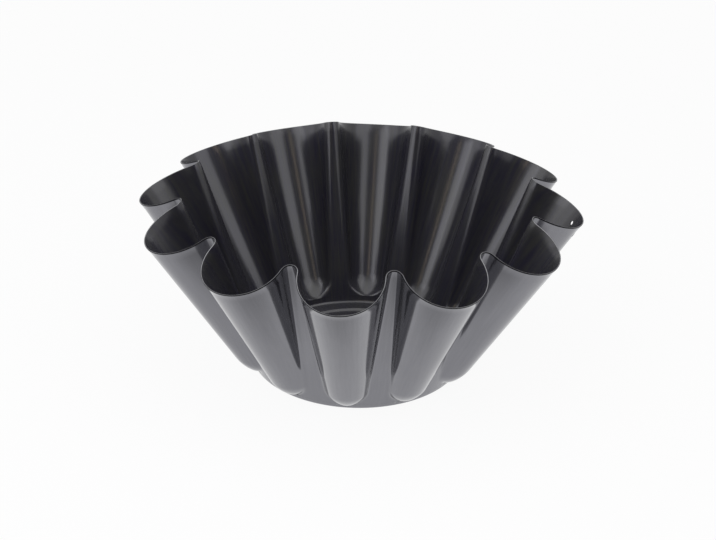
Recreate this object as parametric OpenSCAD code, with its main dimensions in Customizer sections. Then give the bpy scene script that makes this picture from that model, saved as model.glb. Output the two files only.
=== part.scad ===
// Fluted brioche mould: one steel sheet, pressed into twelve flutes over a round base, and the
// non-stick film that lines it. The origin is the centre of the base, on the surface that the mould
// stands on, and the middle of flute 0, which carries the hanging holes, lies over +X.

/* [Overall] */
// Diameter over the flute crests, at the rim
top_d = 220; // [205:1:235]
// Diameter of the round base, where its side meets the table line
base_d = 108; // [100:1:114]
// Height of the rim at the ridges, its highest points
height = 93; // [84:1:104]
// How much lower the rim is at the flute crests
crest_drop = 10.6; // [4:0.2:16]

/* [Flutes] */
// Number of flutes
flutes = 12; // [11:1:13]
// Diameter over the ridges between the flutes, at the rim
ridge_d = 175.6; // [168:0.2:182]
// Outside radius of the fold along a ridge, at the rim
ridge_fold_r = 3.5; // [2.4:0.1:4.4]
// Outside radius of the fold beside a flute, where its toe begins
toe_fold_r = 2.4; // [1.6:0.1:3.2]
// Diameter over the flutes, where their toes begin
toe_d = 132.9; // [128:0.1:138]
// Radius of a flute, where its toe begins
toe_r = 10.3; // [9:0.1:11.4]
// Height at which the toes, the rounded lower ends of the flutes, begin
toe_z = 12.5; // [11.5:0.1:15]
// How far down a toe reaches from there
toe_depth = 9.2; // [7:0.1:10.2]

/* [Sheet] */
// Thickness of the steel sheet
sheet_t = 0.6; // [0.4:0.05:0.9]
// Thickness of the non-stick film inside
film_t = 0.05; // [0.04:0.01:0.1]

/* [Base] */
// Outside radius of the bend between base and side
base_edge_r = 1.1; // [1:0.1:2]
// Number of raised rings pressed into the base
ring_count = 3; // [1:1:4]
// Diameter of the outermost raised ring
ring_d = 90; // [80:1:92]
// Distance between two neighbouring rings
ring_pitch = 7; // [5:0.5:9]
// Width of a ring
ring_w = 3.0; // [2:0.2:4.6]
// Height of a ring
ring_h = 0.9; // [0.4:0.1:1.4]

/* [Hanging holes] */
// Diameter of the two hanging holes
hole_d = 2.2; // [1.4:0.1:3]
// Angle round the flute from its crest to each hole
hole_angle = 21; // [14:1:34]
// Distance from the rim down to the holes, along the crest
hole_drop = 6.4; // [5:0.2:14]

/* [Hidden] */
pitch = 360 / flutes;
half_pitch = pitch / 2;
flute_steps = 5;    // segments from the crest of a flute to the end of its arc
ridge_steps = 3;    // segments from there to the middle of the ridge
wall_steps = 2;     // segments from the toes up to the rim
toe_steps = 3;      // segments round the end of a toe, from the flute down to its tip
toe_turn = 90 / toe_steps;
last_turn = 90 - toe_turn;
half_steps = flute_steps + ridge_steps;
around = 2 * half_steps * flutes;
overlap = 1.5;      // by which the floor disc enters the fluted wall
floor_land = 3;     // flat width of the wall piece inside the bend of the base
bump_steps = 6;     // segments across a raised ring
hole_reach = 8;     // length of the drill that cuts a hole

// Between its flutes the mould is a cone. Its slope is in mm outwards per mm of height, and lean is
// what a depth square to the cone comes to when it is measured level.
slope = (ridge_d - base_d) / 2 / height;
lean = sqrt(1 + slope * slope);

// Flute radius at the rim, for which the fold of one ridge touches the flutes on both sides of it.
fold_axis = ridge_d / 2 + ridge_fold_r;
flute_r = (pow(top_d / 2, 2) + pow(fold_axis, 2) - top_d * fold_axis * cos(half_pitch)
    - pow(ridge_fold_r, 2)) / 2 / (ridge_fold_r + top_d / 2 - fold_axis * cos(half_pitch));

// How a flute widens upwards, in mm per mm of height: its crest line, and its radius.
flute_rise = height - crest_drop - toe_z;
crest_slope = (top_d - toe_d) / 2 / flute_rise;
flute_growth = (flute_r - toe_r) / flute_rise;

// Centre of the bend between base and side, and the inner edge of the fluted wall's flat foot.
bend_r = base_d / 2 + slope * base_edge_r - lean * base_edge_r;
land_r = bend_r - floor_land;

function mix(low, high, share) = low + (high - low) * share;
function arc_degrees(length, radius) = length / radius * 180 / PI;

// Radius of the cone at height z, seen at a depth below the outer face.
function cone_r(z, depth) = base_d / 2 + slope * z - lean * depth;

// Half of a flute's outline in one level, from the crest on the X axis to the middle of the ridge:
// the arc of the flute, the fold that turns out of it, and the stretch of the cone that is left.
function half_outline(radius, crest, cone, fold) =
    let (
        centre = crest - radius,
        swing = acos(min(1, (pow(centre, 2) + pow(cone + fold, 2) - pow(radius + fold, 2))
            / (2 * centre * (cone + fold)))),
        turn = min(half_pitch, swing),
        fold_centre = (cone + fold) * [cos(turn), sin(turn)],
        flank = atan2(fold_centre.y, fold_centre.x - centre),
        fold_length = fold * (flank - turn) * PI / 180,
        cone_length = cone * (half_pitch - turn) * PI / 180,
        step = (fold_length + cone_length) / ridge_steps
    )
    [
        for (i = [0:flute_steps])
            let (angle = flank * i / flute_steps)
            [centre + radius * cos(angle), radius * sin(angle)],
        for (i = [1:ridge_steps])
            let (way = i * step)
            way < fold_length
                ? let (angle = flank + 180 - arc_degrees(way, fold))
                  fold_centre + fold * [cos(angle), sin(angle)]
                : let (angle = turn + arc_degrees(way - fold_length, cone))
                  cone * [cos(angle), sin(angle)]
    ];

// Level of the straight wall: share runs from 0 at the toes to 1 at the rim, and the level sags
// from the ridge towards the crest as the rim does.
function wall_level(share, depth) =
    let (
        z = mix(toe_z, height, share),
        crest = mix(toe_d, top_d, share) / 2 - lean * depth,
        cone = cone_r(z, depth),
        outline = half_outline(mix(toe_r, flute_r, share) - lean * depth, crest, cone,
            mix(toe_fold_r, ridge_fold_r, share) + lean * depth)
    )
    [for (p = outline) [p.x, p.y, z - share * crest_drop * (norm(p) - cone) / (crest - cone)]];

// Height at which the rounded toes end on the cone.
function toe_end_z(depth) = toe_z - toe_depth + depth;

// Level in the toes: turned runs from 0 where they begin to 90 at their tips. The flute goes on
// downwards as it does above, but its size over the cone shrinks as that of a finger tip.
function toe_level(turned, depth) =
    let (
        size = cos(turned),
        below = (toe_depth - depth) * sin(turned),
        cone = cone_r(toe_z - below, depth),
        bulge = toe_d / 2 - crest_slope * below - lean * depth - cone,
        radius = toe_r - flute_growth * below - lean * depth,
        outline = half_outline(radius * size, cone + bulge * size, cone,
            (toe_fold_r + lean * depth) * size)
    )
    [for (p = outline) [p.x, p.y, toe_z - below]];

// Round level below the toes, its points in the same directions from the axis as theirs.
function round_level(radius, z) =
    [
        for (p = toe_level(last_turn, 0))
            let (away = radius / norm([p.x, p.y]))
            [away * p.x, away * p.y, z]
    ];

// The levels of one face of the sheet, from the flat foot up to the rim.
function face_levels(depth) =
    let (bend = base_edge_r - depth, rise = 90 - atan(slope))
    [
        round_level(land_r, depth),
        for (turned = [0, rise])
            round_level(bend_r + bend * sin(turned), base_edge_r - bend * cos(turned)),
        round_level(cone_r(toe_end_z(depth), depth), toe_end_z(depth)),
        for (turned = [last_turn:-toe_turn:toe_turn]) toe_level(turned, depth),
        for (i = [0:wall_steps]) wall_level(i / wall_steps, depth)
    ];

// All round the mould: half a level, mirrored and repeated for every flute.
function all_round(level) =
    [
        for (flute = [0:flutes - 1], i = [1 - half_steps:half_steps])
            let (p = level[abs(i)], y = sign(i) * p.y, turn = flute * pitch)
            [p.x * cos(turn) - y * sin(turn), p.x * sin(turn) + y * cos(turn), p.z]
    ];

// Triangles of one face of the sheet. The two halves of a flute mirror each other.
function face_triangles(start, levels, outside) =
    [
        for (i = [0:levels - 2], j = [0:around - 1])
            let (
                a = start + i * around + j,
                b = start + i * around + (j + 1) % around,
                c = a + around,
                d = b + around,
                left = (j + 1) % (2 * half_steps) < half_steps,
                pair = left ? [[a, c, d], [a, d, b]] : [[a, c, b], [b, c, d]]
            )
            each outside ? pair : [for (t = pair) [t[2], t[1], t[0]]]
    ];

// Triangles that close the sheet between a ring of its outer face and one of its inner face.
function edge_triangles(outer, inner) =
    [
        for (j = [0:around - 1])
            let (next = (j + 1) % around)
            each [[outer + j, inner + j, outer + next], [outer + next, inner + j, inner + next]]
    ];

// The fluted wall with the bend below it, between two depths under the outer face.
module fluted_wall(from, to) {
    outer = face_levels(from);
    inner = face_levels(to);
    count = len(outer);
    inside = count * around;
    top = (count - 1) * around;
    polyhedron(
        points = [for (level = concat(outer, inner)) each all_round(level)],
        faces = concat(
            face_triangles(0, count, true),
            face_triangles(inside, count, false),
            edge_triangles(top, inside + top),
            edge_triangles(inside, 0)
        )
    );
}

// Upper edge of the floor's profile at a depth, from the axis outwards over the raised rings.
function ring_mid(k) = ring_d / 2 - k * ring_pitch;
function ring_profile(depth) =
    [
        [0, depth],
        for (k = [ring_count - 1:-1:0], i = [0:bump_steps])
            let (across = i / bump_steps)
            [ring_mid(k) + (across - 0.5) * ring_w, depth + ring_h * (1 - cos(360 * across)) / 2],
        [land_r + overlap, depth]
    ];

// The floor with its raised rings, between the same two depths.
module ringed_floor(from, to) {
    below = ring_profile(from);
    above = ring_profile(to);
    rotate_extrude($fn = 96)
        polygon([each below, for (i = [len(above) - 1:-1:0]) above[i]]);
}

// The two hanging holes, each square to the sheet, one on either side of the crest of flute 0.
module hanging_holes() {
    up = flute_rise * (1 - hole_drop / norm([(top_d - toe_d) / 2, flute_rise]));
    radius = toe_r + flute_growth * up;
    centre = toe_d / 2 + crest_slope * up - radius;
    drift = crest_slope - flute_growth;
    for (side = [-1, 1]) {
        angle = side * hole_angle;
        tilt = atan(drift * cos(angle) + flute_growth);
        translate([centre + radius * cos(angle), radius * sin(angle), toe_z + up])
            rotate([0, 90 + tilt, angle])
                cylinder(h = hole_reach, d = hole_d, center = true, $fn = 32);
    }
}

// A skin of the mould from one depth under its outer face to another, with its holes.
module skin(from, to) {
    difference() {
        union() {
            fluted_wall(from, to);
            ringed_floor(from, to);
        }
        hanging_holes();
    }
}

module pressed_shell() {
    color([0.33, 0.33, 0.35]) skin(0, sheet_t);
}

module nonstick_lining() {
    color([0.17, 0.17, 0.19]) skin(sheet_t, sheet_t + film_t);
}

pressed_shell();
nonstick_lining();
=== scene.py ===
import math
from types import SimpleNamespace

import bpy
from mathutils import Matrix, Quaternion, Vector


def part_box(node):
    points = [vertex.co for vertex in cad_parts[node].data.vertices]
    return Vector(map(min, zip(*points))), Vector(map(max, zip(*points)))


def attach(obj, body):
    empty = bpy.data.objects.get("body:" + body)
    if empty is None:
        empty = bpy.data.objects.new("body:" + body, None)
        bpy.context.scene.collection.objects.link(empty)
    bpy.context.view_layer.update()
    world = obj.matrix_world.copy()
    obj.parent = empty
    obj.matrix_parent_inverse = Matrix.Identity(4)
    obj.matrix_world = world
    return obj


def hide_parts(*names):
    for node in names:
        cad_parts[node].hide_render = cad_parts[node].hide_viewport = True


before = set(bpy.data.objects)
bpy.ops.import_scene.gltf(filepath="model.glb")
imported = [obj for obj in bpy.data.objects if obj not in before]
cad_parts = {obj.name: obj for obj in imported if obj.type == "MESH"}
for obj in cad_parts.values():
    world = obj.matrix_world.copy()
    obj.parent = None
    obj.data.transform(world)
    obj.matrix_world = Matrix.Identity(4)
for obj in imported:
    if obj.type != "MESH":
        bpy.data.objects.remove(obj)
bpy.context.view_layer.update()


# The camera stands where the photographer stood: about 0.78 m away, looking down at 27.5 degrees
# through a short telephoto lens, and held very slightly askew.
CAMERA_TURN = math.radians(4.855)
CAMERA_RISE = math.radians(27.508)
CAMERA_ROLL = math.radians(0.922)
CAMERA_DISTANCE = 0.7802
CAMERA_LENS = 80.105
LOOKED_AT = Vector((0.00127, -0.01835, 0.05775))

camera_data = bpy.data.cameras.new("photo_camera")
camera_data.sensor_width = 36.0
camera_data.lens = CAMERA_LENS
camera_data.clip_end = 50.0
camera = bpy.data.objects.new("photo_camera", camera_data)
bpy.context.scene.collection.objects.link(camera)
away = Vector((0.0, -math.cos(CAMERA_RISE), math.sin(CAMERA_RISE)))
away.rotate(Quaternion((0.0, 0.0, 1.0), CAMERA_TURN))
camera.location = LOOKED_AT + CAMERA_DISTANCE * away
camera.rotation_mode = "QUATERNION"
camera.rotation_quaternion = away.to_track_quat("Z", "Y") @ Quaternion((0.0, 0.0, 1.0), CAMERA_ROLL)
bpy.context.scene.camera = camera


# The pressed shell: one sheet of 0.6 mm steel, drawn in a press into twelve tapering flutes over a
# round ringed base, and trimmed along the rim. It is lacquered outside, and two holes to hang it up
# by are punched beside the crest of one flute.
SHEET = 0.0006
ROLL_DEPTH = 0.00036
ROLL_HEIGHT = 0.0007
PRESSED_SIZES = {
    "flutes": 12,
    "rim_radius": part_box("pressed_shell")[1].x,
    "rim_height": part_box("pressed_shell")[1].z,
    "crest_drop": 0.0106,
    "ridge_radius": 0.0878,
    "ridge_fold": 0.0035,
    "toe_fold": 0.0024,
    "toe_crest_radius": 0.06645,
    "toe_flute_radius": 0.0103,
    "toe_height": 0.0125,
    "toe_depth": 0.0092,
    "base_radius": 0.054,
    "base_bend": 0.0022,
    "rings": 3,
    "ring_radius": 0.045,
    "ring_pitch": 0.007,
    "ring_width": 0.003,
    "ring_height": 0.0009,
    "lip_height": 0.005,
    "lip_flare": 0.0004,
    "hole_radius": 0.0011,
    "hole_angle": math.radians(21),
    "hole_drop": 0.0064,
}
ARC_STEPS = 15
FOLD_STEPS = 9
HALF_COLUMNS = ARC_STEPS + FOLD_STEPS
RING_STEPS = 8
BEND_STEPS = 5
TOE_STEPS = 14
TOE_TIP = 0.06
WALL_STEPS = 12
LIP_STEPS = 9
ROLL_STEPS = 6
WELD_DISTANCE = 0.000002
DRILL_LENGTH = 0.008
DRILL_SIDES = 48
SHARP_ANGLE = math.radians(40)


class NodeNumber:
    """A number that a node tree works out. Arithmetic on it adds Math nodes to its tree."""

    def __init__(self, socket):
        self.socket = socket

    def __add__(self, other):
        return reckon("ADD", self, other)

    def __sub__(self, other):
        return reckon("SUBTRACT", self, other)

    def __rsub__(self, other):
        return reckon("SUBTRACT", other, self)

    def __mul__(self, other):
        return reckon("MULTIPLY", self, other)

    def __truediv__(self, other):
        return reckon("DIVIDE", self, other)

    def __rtruediv__(self, other):
        return reckon("DIVIDE", other, self)

    __radd__ = __add__
    __rmul__ = __mul__


def add_node(tree, kind, inputs, **settings):
    """Adds a node. Each input is given by its name or number, with a value or with what feeds it."""
    node = tree.nodes.new(kind)
    for name, value in settings.items():
        setattr(node, name, value)
    for name, value in inputs.items():
        if isinstance(value, NodeNumber):
            tree.links.new(value.socket, node.inputs[name])
        elif isinstance(value, bpy.types.NodeSocket):
            tree.links.new(value, node.inputs[name])
        else:
            node.inputs[name].default_value = value
    return node


def reckon(operation, *values):
    tree = next(value for value in values if isinstance(value, NodeNumber)).socket.id_data
    node = add_node(tree, "ShaderNodeMath", dict(enumerate(values)), operation=operation)
    return NodeNumber(node.outputs[0])


def cos(angle):
    return reckon("COSINE", angle)


def sin(angle):
    return reckon("SINE", angle)


def hypot(a, b):
    return reckon("SQRT", a * a + b * b)


def least(a, b):
    return reckon("MINIMUM", a, b)


def most(a, b):
    return reckon("MAXIMUM", a, b)


def clamped(number):
    return least(1.0, most(0.0, number))


def mix(low, high, share):
    return low + (high - low) * share


def if_less(a, b, then, otherwise):
    below = reckon("LESS_THAN", a, b)
    choices = {"Switch": below, "True": then, "False": otherwise}
    choice = add_node(below.socket.id_data, "GeometryNodeSwitch", choices, input_type="FLOAT")
    return NodeNumber(choice.outputs[0])


def vector(tree, x, y, z):
    return add_node(tree, "ShaderNodeCombineXYZ", {"X": x, "Y": y, "Z": z}).outputs[0]


def cone_radius(mould, height, depth):
    return mould.base_radius + mould.slope * height - mould.lean * depth


def fluted_point(mould, share, size, column, depth):
    """A point of the fluted wall, which is a cone with flutes pressed out of it.

    Share is the level, from 0 where the toes begin to 1 at the rim. In the toes it is below 0, and
    size shrinks the flutes there. A flute's outline is an arc, which a fold turns back into the cone.
    """
    above = most(0.0, share)
    wall_height = mould.rim_height - mould.toe_height
    from_rim = least(1.0, (1.0 - share) * wall_height / mould.lip_height)
    deep = depth + mould.lip_flare * above * from_rim * (2.0 - from_rim)
    level = mould.toe_height + above * wall_height + least(0.0, share) * mould.crest_rise
    cone = cone_radius(mould, level, deep)
    crest = cone + (mix(mould.toe_crest_radius, mould.rim_radius, share) - mould.lean * deep - cone) * size
    radius = (mix(mould.toe_flute_radius, mould.rim_flute_radius, share) - mould.lean * deep) * size
    fold = (mix(mould.toe_fold, mould.ridge_fold, above) + mould.lean * deep) * size
    centre = crest - radius
    axis = cone + fold
    touching = radius + fold
    reach = (centre * centre + axis * axis - touching * touching) / (2.0 * centre * axis)
    turn = least(mould.half_pitch, reckon("ARCCOSINE", least(1.0, reach)))
    fold_x = axis * cos(turn)
    fold_y = axis * sin(turn)
    flank = reckon("ARCTAN2", fold_y, fold_x - centre)
    fold_length = fold * (flank - turn)
    step = (fold_length + cone * (mould.half_pitch - turn)) / FOLD_STEPS
    number = reckon("ABSOLUTE", column)
    way = (number - ARC_STEPS) * step
    on_arc = flank * number / ARC_STEPS
    on_fold = flank + math.pi - way / fold
    on_cone = turn + (way - fold_length) / cone
    beyond_x = if_less(way, fold_length, fold_x + fold * cos(on_fold), cone * cos(on_cone))
    beyond_y = if_less(way, fold_length, fold_y + fold * sin(on_fold), cone * sin(on_cone))
    x = if_less(number, ARC_STEPS, centre + radius * cos(on_arc), beyond_x)
    y = if_less(number, ARC_STEPS, radius * sin(on_arc), beyond_y)
    sag = above * mould.crest_drop * (hypot(x, y) - cone) / (crest - cone)
    return x, reckon("SIGN", column) * y, level - sag


def base_point(mould, row, column, depth):
    """A point of the round base: its floor with the raised rings, and the bend that turns it up."""
    ring = reckon("FLOOR", (row - 1.0) / (RING_STEPS + 1))
    across = (row - 1.0 - ring * (RING_STEPS + 1)) / RING_STEPS
    middle = mould.ring_radius - (mould.rings - 1.0 - ring) * mould.ring_pitch
    on_ring = (middle + (across - 0.5) * mould.ring_width) * least(1.0, row)
    lift = mould.ring_height * (1.0 - cos(2 * math.pi * across)) / 2.0
    bend = mould.base_bend - depth
    bend_centre = mould.base_radius + (mould.slope - mould.lean) * mould.base_bend
    bend_turn = math.pi / 2 - reckon("ARCTANGENT", mould.slope)
    turned = bend_turn * clamped((row - mould.bend_row) / BEND_STEPS)
    toe_end = mould.toe_height - mould.toe_depth + depth
    past_bend = mould.bend_row + BEND_STEPS + 0.5
    bend_radius = bend_centre + bend * sin(turned)
    bend_height = mould.base_bend - bend * cos(turned)
    beyond_radius = if_less(row, past_bend, bend_radius, cone_radius(mould, toe_end, depth))
    beyond_height = if_less(row, past_bend, bend_height, toe_end)
    radius = if_less(row, mould.bend_row - 0.5, on_ring, beyond_radius)
    height = if_less(row, mould.bend_row - 0.5, depth + lift, beyond_height)
    angle = mould.half_pitch * column / HALF_COLUMNS
    return radius * cos(angle), radius * sin(angle), height


def face_point(mould, row, column, depth, top_share):
    """A point of one face of the sheet, in rows from the middle of the base up to the rim."""
    climb = row - mould.toe_row
    turned = math.acos(TOE_TIP) * clamped(1.0 - climb / TOE_STEPS)
    below = (mould.toe_depth - depth) * sin(turned) / mould.crest_rise
    lip_share = 1.0 - mould.lip_height / (mould.rim_height - mould.toe_height)
    wall = lip_share * clamped((climb - TOE_STEPS) / WALL_STEPS)
    lip = (top_share - lip_share) * clamped((climb - TOE_STEPS - WALL_STEPS) / LIP_STEPS)
    fluted = fluted_point(mould, wall + lip - below, cos(turned), column, depth)
    base = base_point(mould, row, column, depth)
    return [if_less(row, mould.toe_row - 0.5, low, high) for low, high in zip(base, fluted)]


def roll_point(mould, row, column):
    """A point of the outer corner of the rim, which the trimming shear has rolled over."""
    turned = math.pi / 2 * row / ROLL_STEPS
    share = 1.0 - mould.roll_height * (1.0 - sin(turned)) / (mould.rim_height - mould.toe_height)
    depth = mould.outer_depth + mould.roll_depth * (1.0 - cos(turned))
    return fluted_point(mould, share, 1.0, column, depth)


def cut_point(mould, row, column):
    """A point of the cut edge, on top of the rim."""
    # The share is 1, as a number of the node tree.
    rim_share = 1.0 + 0.0 * row
    depth = mix(mould.outer_depth + mould.roll_depth, mould.inner_depth, row)
    return fluted_point(mould, rim_share, 1.0, column, depth)


def flute_patch(tree, rows, place):
    """A grid over one flute, from ridge to ridge, with each of its points moved to its place."""
    counts = {"Size X": 2.0 * HALF_COLUMNS, "Size Y": rows - 1.0, "Vertices X": 2 * HALF_COLUMNS + 1}
    grid = add_node(tree, "GeometryNodeMeshGrid", counts | {"Vertices Y": rows})
    spot = add_node(tree, "GeometryNodeInputPosition", {})
    split = add_node(tree, "ShaderNodeSeparateXYZ", {0: spot.outputs[0]})
    row = NodeNumber(split.outputs["Y"]) + (rows - 1.0) / 2.0
    target = vector(tree, *place(row, NodeNumber(split.outputs["X"])))
    placing = {"Geometry": grid.outputs["Mesh"], "Position": target}
    moved = add_node(tree, "GeometryNodeSetPosition", placing)
    return moved.outputs[0]


def hole_drill(tree, mould, side):
    """The punch of one hanging hole, square to the wall beside the crest of the first flute."""
    crest_run = mould.rim_radius - mould.toe_crest_radius
    share = 1.0 - mould.hole_drop / hypot(crest_run, mould.crest_rise)
    radius = mix(mould.toe_flute_radius, mould.rim_flute_radius, share)
    centre = mix(mould.toe_crest_radius, mould.rim_radius, share) - radius
    growth = (mould.rim_flute_radius - mould.toe_flute_radius) / mould.crest_rise
    angle = side * mould.hole_angle
    tilt = reckon("ARCTANGENT", (crest_run / mould.crest_rise - growth) * cos(angle) + growth)
    sizes = {"Vertices": DRILL_SIDES, "Radius": mould.hole_radius, "Depth": DRILL_LENGTH}
    drill = add_node(tree, "GeometryNodeMeshCylinder", sizes)
    height = mould.toe_height + share * mould.crest_rise
    setting = {
        "Geometry": drill.outputs["Mesh"],
        "Translation": vector(tree, centre + radius * cos(angle), radius * sin(angle), height),
        "Rotation": vector(tree, 0.0, math.pi / 2 + tilt, angle),
    }
    return add_node(tree, "GeometryNodeTransform", setting).outputs[0]


def with_mark(tree, shape, mark):
    """The shape with a mark on all its faces, by which they get a finish of their own."""
    marking = {"Geometry": shape, "Name": mark, "Value": True}
    on_faces = {"data_type": "BOOLEAN", "domain": "FACE"}
    return add_node(tree, "GeometryNodeStoreNamedAttribute", marking, **on_faces).outputs[0]


def join(tree, parts):
    joined = add_node(tree, "GeometryNodeJoinGeometry", {})
    for part in parts:
        tree.links.new(part, joined.inputs[0])
    return joined.outputs[0]


def round_the_axis(tree, flute, flutes):
    """Sets copies of one flute round the mould's axis, and welds them."""
    on_axis = {"Count": flutes, "Offset": (0.0, 0.0, 0.0)}
    seats = add_node(tree, "GeometryNodeMeshLine", on_axis, mode="OFFSET")
    number = NodeNumber(add_node(tree, "GeometryNodeInputIndex", {}).outputs[0])
    turned = vector(tree, 0.0, 0.0, 2 * math.pi * number / flutes)
    placed = {"Points": seats.outputs["Mesh"], "Instance": flute, "Rotation": turned}
    copies = add_node(tree, "GeometryNodeInstanceOnPoints", placed)
    real = add_node(tree, "GeometryNodeRealizeInstances", {0: copies.outputs[0]})
    weld = {"Geometry": real.outputs[0], "Distance": WELD_DISTANCE}
    return add_node(tree, "GeometryNodeMergeByDistance", weld).outputs[0]


def sheet_tree(sizes):
    """The node tree that makes one sheet of the mould's form, between two depths below its outside."""
    tree = bpy.data.node_groups.new("fluted_sheet", "GeometryNodeTree")
    for name, value in sizes.items():
        kind = "NodeSocketInt" if isinstance(value, int) else "NodeSocketFloat"
        tree.interface.new_socket(name, in_out="INPUT", socket_type=kind)
    for name in ("finish", "rolled_finish", "cut_finish"):
        tree.interface.new_socket(name, in_out="INPUT", socket_type="NodeSocketMaterial")
    tree.interface.new_socket("Geometry", in_out="OUTPUT", socket_type="NodeSocketGeometry")
    given = tree.nodes.new("NodeGroupInput").outputs
    mould = SimpleNamespace(**{name: NodeNumber(given[name]) for name in sizes})

    mould.half_pitch = math.pi / mould.flutes
    mould.crest_rise = mould.rim_height - mould.crest_drop - mould.toe_height
    mould.slope = (mould.ridge_radius - mould.base_radius) / mould.rim_height
    mould.lean = hypot(mould.slope, 1.0)
    fold_axis = mould.ridge_radius + mould.ridge_fold
    beside = fold_axis * cos(mould.half_pitch)
    spread = mould.rim_radius * mould.rim_radius + fold_axis * fold_axis - 2.0 * mould.rim_radius * beside
    # The radius at which a flute touches the folds of the ridges on both sides of it, at the rim.
    reach = mould.ridge_fold + mould.rim_radius - beside
    mould.rim_flute_radius = (spread - mould.ridge_fold * mould.ridge_fold) / 2.0 / reach
    # Below the toes a face has a row in the middle of the base, RING_STEPS + 1 rows for each ring,
    # BEND_STEPS + 1 rows round the bend, and a row where the toes end.
    mould.bend_row = mould.rings * (RING_STEPS + 1) + 1.0
    mould.toe_row = mould.bend_row + BEND_STEPS + 2.0

    rows = mould.toe_row + TOE_STEPS + WALL_STEPS + LIP_STEPS + 1.0
    rolled_from = 1.0 - mould.roll_height / (mould.rim_height - mould.toe_height)
    outer = flute_patch(
        tree, rows, lambda row, column: face_point(mould, row, column, mould.outer_depth, rolled_from)
    )
    inner = flute_patch(
        tree, rows, lambda row, column: face_point(mould, row, column, mould.inner_depth, 1.0)
    )
    inner = add_node(tree, "GeometryNodeFlipFaces", {"Mesh": inner}).outputs[0]
    roll = flute_patch(tree, ROLL_STEPS + 1, lambda row, column: roll_point(mould, row, column))
    roll = with_mark(tree, roll, "rolled_edge")
    cut = flute_patch(tree, 2, lambda row, column: cut_point(mould, row, column))
    cut = with_mark(tree, cut, "cut_edge")
    whole = round_the_axis(tree, join(tree, [outer, inner, roll, cut]), mould.flutes)
    drills = join(tree, [hole_drill(tree, mould, side) for side in (-1.0, 1.0)])
    # The walls of the holes take the rolled edge's finish, which on the shell is painted shade.
    drills = with_mark(tree, drills, "rolled_edge")
    cutting = {"operation": "DIFFERENCE", "solver": "EXACT"}
    punched = add_node(tree, "GeometryNodeMeshBoolean", {"Mesh 1": whole}, **cutting)
    tree.links.new(drills, punched.inputs["Mesh 2"])
    shape = punched.outputs[0]
    finished = add_node(tree, "GeometryNodeSetMaterial", {"Geometry": shape, "Material": given["finish"]})
    for edge, finish in (("rolled_edge", "rolled_finish"), ("cut_edge", "cut_finish")):
        marked = add_node(tree, "GeometryNodeInputNamedAttribute", {"Name": edge}, data_type="BOOLEAN")
        shape = finished.outputs[0]
        change = {"Geometry": shape, "Selection": marked.outputs[0], "Material": given[finish]}
        finished = add_node(tree, "GeometryNodeSetMaterial", change)
    tree.links.new(finished.outputs[0], tree.nodes.new("NodeGroupOutput").inputs[0])
    return tree


def whole_sheet(name, tree, sizes, finishes):
    """The sheet that the tree makes of these sizes, as an object with a plain mesh."""
    sheet = bpy.data.objects.new(name, bpy.data.meshes.new(name))
    bpy.context.scene.collection.objects.link(sheet)
    making = sheet.modifiers.new("fluted_sheet", "NODES")
    making.node_group = tree
    sockets = {item.name: item.identifier for item in tree.interface.items_tree if item.in_out == "INPUT"}
    for given, value in (sizes | finishes).items():
        making[sockets[given]] = value
    shown = sheet.evaluated_get(bpy.context.evaluated_depsgraph_get())
    plain = bpy.data.meshes.new_from_object(shown)
    sheet.modifiers.clear()
    sheet.data = plain
    plain.shade_smooth()
    plain.set_sharp_from_angle(angle=SHARP_ANGLE)
    return sheet


def new_material(name):
    """A new material, with its node tree and its shader."""
    material = bpy.data.materials.new(name)
    material.use_nodes = True
    return material, material.node_tree, material.node_tree.nodes["Principled BSDF"]


def own_place(tree):
    """Where a point lies on its object, whatever way the object moves."""
    return add_node(tree, "ShaderNodeTexCoord", {}).outputs["Object"]


def noise(tree, where, scale, detail):
    texture = add_node(tree, "ShaderNodeTexNoise", {"Vector": where, "Scale": scale, "Detail": detail})
    return NodeNumber(texture.outputs["Fac"])


STEEL_GRAIN_SCALE = 900.0
STEEL_SMOOTH = 0.25
STEEL_ROUGH = 0.5


def bare_steel_and_painted_shade(name, colour):
    """Steel without a coat, with a fine grain in its shine. Made near black, it stands as painted shade."""
    material, tree, shader = new_material(name)
    shader.inputs["Base Color"].default_value = colour
    shader.inputs["Metallic"].default_value = 1.0
    grain = noise(tree, own_place(tree), scale=STEEL_GRAIN_SCALE, detail=2.0)
    spread = {"Value": grain, "To Min": STEEL_SMOOTH, "To Max": STEEL_ROUGH}
    shine = add_node(tree, "ShaderNodeMapRange", spread)
    tree.links.new(shine.outputs["Result"], shader.inputs["Roughness"])
    return material


STREAKS_ROUND = 110.0
STREAKS_UP = 60.0
STREAK_SHARE = 0.6
STREAK_STRENGTH = 0.5
CLOUD_SCALE = 38.0
COAT_GRAIN_SCALE = 1400.0
COAT_GRAIN_HEIGHT = 0.00002
COAT_GRAIN_STRENGTH = 0.04
TONE_FROM = 0.38
TONE_TO = 0.62


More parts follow.
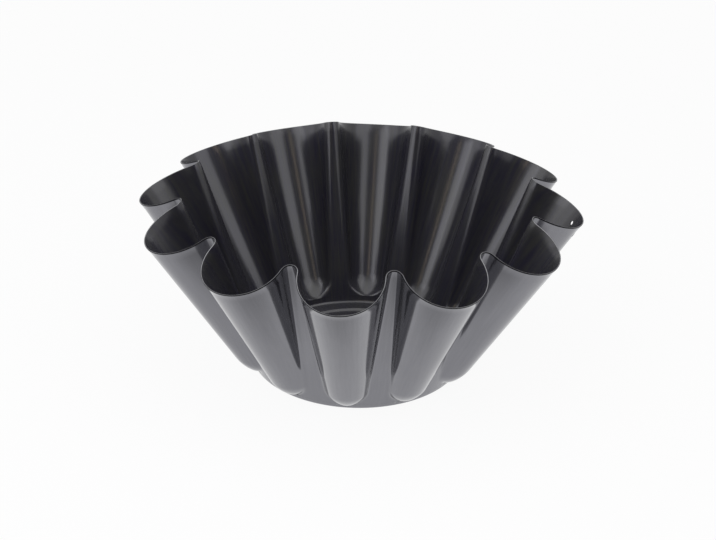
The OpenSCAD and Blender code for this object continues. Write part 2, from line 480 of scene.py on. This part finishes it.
def baked_coat(name, dark, light, metallic, smooth, rough, streak_height):
    """A baked coat: fine grain, soft streaks along the pull of the press, slight clouding."""
    material, tree, shader = new_material(name)
    shader.inputs["Metallic"].default_value = metallic
    place = own_place(tree)
    split = add_node(tree, "ShaderNodeSeparateXYZ", {0: place}).outputs
    level = vector(tree, split["X"], split["Y"], 0.0)
    direction = add_node(tree, "ShaderNodeVectorMath", {0: level}, operation="NORMALIZE").outputs[0]
    lengthwise = vector(tree, 0.0, 0.0, STREAKS_UP * NodeNumber(split["Z"]))
    spread = {0: direction, 1: (STREAKS_ROUND,) * 3, 2: lengthwise}
    pull = add_node(tree, "ShaderNodeVectorMath", spread, operation="MULTIPLY_ADD").outputs[0]
    streaks = noise(tree, pull, scale=1.0, detail=4.0)
    clouds = noise(tree, place, scale=CLOUD_SCALE, detail=3.0)
    grain = noise(tree, place, scale=COAT_GRAIN_SCALE, detail=3.0)
    blend = STREAK_SHARE * streaks + (1.0 - STREAK_SHARE) * clouds
    tone = clamped((blend - TONE_FROM) / (TONE_TO - TONE_FROM))
    colour = add_node(tree, "ShaderNodeMix", {"Factor": tone, "A": dark, "B": light}, data_type="RGBA")
    tree.links.new(colour.outputs["Result"], shader.inputs["Base Color"])
    tree.links.new(mix(smooth, rough, tone).socket, shader.inputs["Roughness"])
    grained = {"Strength": COAT_GRAIN_STRENGTH, "Distance": COAT_GRAIN_HEIGHT, "Height": grain}
    skin = add_node(tree, "ShaderNodeBump", grained).outputs[0]
    brushed = {"Strength": STREAK_STRENGTH, "Distance": streak_height, "Height": streaks, "Normal": skin}
    tree.links.new(add_node(tree, "ShaderNodeBump", brushed).outputs[0], shader.inputs["Normal"])
    return material


shell_sizes = PRESSED_SIZES | {
    "outer_depth": 0.0,
    "inner_depth": SHEET,
    "roll_depth": ROLL_DEPTH,
    "roll_height": ROLL_HEIGHT,
}
FLUTED_SHEET = sheet_tree(shell_sizes)
shell_finishes = {
    "finish": baked_coat(
        "outer_lacquer",
        dark=(0.193, 0.193, 0.21, 1.0),
        light=(0.213, 0.213, 0.231, 1.0),
        metallic=0.98,
        smooth=0.1,
        rough=0.14,
        streak_height=0.000002,
    ),
    # The rolled corner under the rim and the walls of the hanging holes are painted near black, darker than
    # any steel: painted shade along the rim and in the holes.
    "rolled_finish": bare_steel_and_painted_shade("painted_shade_rim_and_holes", (0.02, 0.02, 0.023, 1.0)),
    "cut_finish": bare_steel_and_painted_shade("cut_steel", (0.2, 0.2, 0.21, 1.0)),
}
shell = whole_sheet("pressed_shell_sheet", FLUTED_SHEET, shell_sizes, shell_finishes)
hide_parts("pressed_shell")
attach(shell, "root")


# The non-stick lining: a dark film a twentieth of a millimetre thick on the whole inside, up to the
# cut edge of the rim. It is sprayed on the pressed shell, which hangs by its two holes, and baked.
FILM = 0.00005
film_sizes = PRESSED_SIZES | {
    "outer_depth": SHEET,
    "inner_depth": SHEET + FILM,
    "roll_depth": 0.0,
    "roll_height": 0.0,
}
film_coat = baked_coat(
    "nonstick_coat",
    dark=(0.0205, 0.0195, 0.0315, 1.0),
    light=(0.0305, 0.0305, 0.0305, 1.0),
    metallic=0.0,
    smooth=0.2,
    rough=0.26,
    streak_height=0.000004,
)
film_finishes = {"finish": film_coat, "rolled_finish": film_coat, "cut_finish": film_coat}
lining = whole_sheet("nonstick_film", FLUTED_SHEET, film_sizes, film_finishes)
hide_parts("nonstick_lining")
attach(lining, "root")


# The table and the room of the studio, both white. The table keeps the mould's soft shadow and fades
# to the room's white away from it. In the mould's gloss it is white beside the mould, and a painted
# shade darkens it towards the camera.
TABLE_SIZE = 6.0
TABLE_WHITE = 0.93
DIM_TABLE = 0.45
DIM_TABLE_Y = -0.14
WHITE_TABLE_Y = -0.07
FADE_FROM = 0.3
FADE_TO = 1.6
ROOM_LIGHT = 0.2


def light_path(tree):
    """What kind of ray meets the surface: one from the camera, from gloss, or through glass."""
    path = add_node(tree, "ShaderNodeLightPath", {}).outputs
    return [NodeNumber(path[name]) for name in ("Is Camera Ray", "Is Glossy Ray", "Is Transmission Ray")]


bpy.ops.mesh.primitive_plane_add(size=TABLE_SIZE)
table = bpy.context.object
table.name = "white_table"
material, tree, shader = new_material("white_table")
shader.inputs["Base Color"].default_value = (0.9, 0.9, 0.9, 1.0)
shader.inputs["Roughness"].default_value = 0.9
place = own_place(tree)
distance = add_node(tree, "ShaderNodeVectorMath", {0: place}, operation="LENGTH").outputs["Value"]
fade = {"Value": distance, "From Min": FADE_FROM, "From Max": FADE_TO, "To Min": TABLE_WHITE, "To Max": 1.0}
whiteness = add_node(tree, "ShaderNodeMapRange", fade, interpolation_type="SMOOTHSTEP").outputs["Result"]
seen, mirrored, through = light_path(tree)
# Painted shade: the table's glow, as the mould's gloss sees it, dims towards the camera.
back = add_node(tree, "ShaderNodeSeparateXYZ", {0: place}).outputs["Y"]
dimming = {"Value": back, "From Min": DIM_TABLE_Y, "From Max": WHITE_TABLE_Y, "To Min": DIM_TABLE}
shine = add_node(tree, "ShaderNodeMapRange", dimming, interpolation_type="SMOOTHSTEP").outputs["Result"]
strength = mix(1.0, NodeNumber(shine), mirrored)
glow = add_node(tree, "ShaderNodeEmission", {"Strength": strength}).outputs[0]
share = most(most(seen * NodeNumber(whiteness), mirrored), through)
blend = add_node(tree, "ShaderNodeMixShader", {"Fac": share, 1: shader.outputs[0], 2: glow})
tree.links.new(blend.outputs[0], tree.nodes["Material Output"].inputs["Surface"])
table.data.materials.append(material)

world = bpy.data.worlds.new("white_room")
bpy.context.scene.world = world
world.use_nodes = True
seen, mirrored, through = light_path(world.node_tree)
room = world.node_tree.nodes["Background"]
room.inputs["Color"].default_value = (1.0, 1.0, 1.0, 1.0)
strength = mix(ROOM_LIGHT, 1.0, most(most(seen, mirrored), through))
world.node_tree.links.new(strength.socket, room.inputs["Strength"])


# A black flag stands behind the camera, which sees it only in the mould's gloss. It keeps the middle
# of the far flutes dark.
FLAG_DISTANCE = 1.1
FLAG_WIDTH = 1.4
FLAG_HEIGHT = 1.5

flag_mesh = bpy.data.meshes.new("black_flag")
flag_sides = (-FLAG_WIDTH / 2, FLAG_WIDTH / 2)
flag_corners = [Vector((x, -FLAG_DISTANCE, z)) for z in (0.0, FLAG_HEIGHT) for x in flag_sides]
for corner in flag_corners:
    corner.rotate(Quaternion((0.0, 0.0, 1.0), CAMERA_TURN))
flag_mesh.from_pydata(flag_corners, [], [(0, 1, 3, 2)])
flag = bpy.data.objects.new("black_flag", flag_mesh)
bpy.context.scene.collection.objects.link(flag)
cloth, tree, shader = new_material("black_cloth")
shader.inputs["Base Color"].default_value = (0.03, 0.03, 0.03, 1.0)
shader.inputs["Roughness"].default_value = 1.0
flag_mesh.materials.append(cloth)
flag.visible_camera = False
flag.visible_shadow = False


# The lights: a soft box on either side of the camera, which draws the long bright bands in the flutes,
# a weaker one at the far left, a dim panel and a narrow warm lamp between them, and one overhead.
WHITE = (1.0, 1.0, 1.0)
SOFT_WHITE = (1.0, 1.0, 0.98)
COOL_WHITE = (0.97, 0.97, 1.04)
WARM_WHITE = (1.0, 0.8, 0.58)


def soft_box(name, colour, azimuth, rise, distance, size, radiance):
    """A soft box seen from the mould at an azimuth from the camera, to its right, and a height angle."""
    light = bpy.data.lights.new(name, "AREA")
    light.shape = "RECTANGLE"
    light.size, light.size_y = size
    light.energy = radiance * math.pi * size[0] * size[1]
    light.color = colour
    box = bpy.data.objects.new(name, light)
    bpy.context.scene.collection.objects.link(box)
    rise = math.radians(rise)
    box.location = (0.0, -distance * math.cos(rise), distance * math.sin(rise))
    box.location.rotate(Quaternion((0.0, 0.0, 1.0), CAMERA_TURN + math.radians(azimuth)))
    box.rotation_mode = "QUATERNION"
    box.rotation_quaternion = box.location.to_track_quat("Z", "Y")


soft_box("left_box", COOL_WHITE, azimuth=-47, rise=34, distance=1.0, size=(0.57, 0.7), radiance=1.95)
soft_box("left_edge", COOL_WHITE, azimuth=-82, rise=33, distance=1.0, size=(0.7, 1.0), radiance=0.85)
soft_box("right_box", COOL_WHITE, azimuth=61, rise=43, distance=1.0, size=(0.84, 0.75), radiance=1.25)
soft_box("middle_panel", WHITE, azimuth=2, rise=44, distance=1.05, size=(0.9, 0.6), radiance=0.3)
soft_box("warm_lamp", WARM_WHITE, azimuth=-8, rise=39, distance=1.0, size=(0.09, 0.36), radiance=2.6)
soft_box("top_box", SOFT_WHITE, azimuth=0, rise=90, distance=1.6, size=(2.0, 1.6), radiance=0.95)

bpy.context.scene.view_settings.view_transform = "Standard"
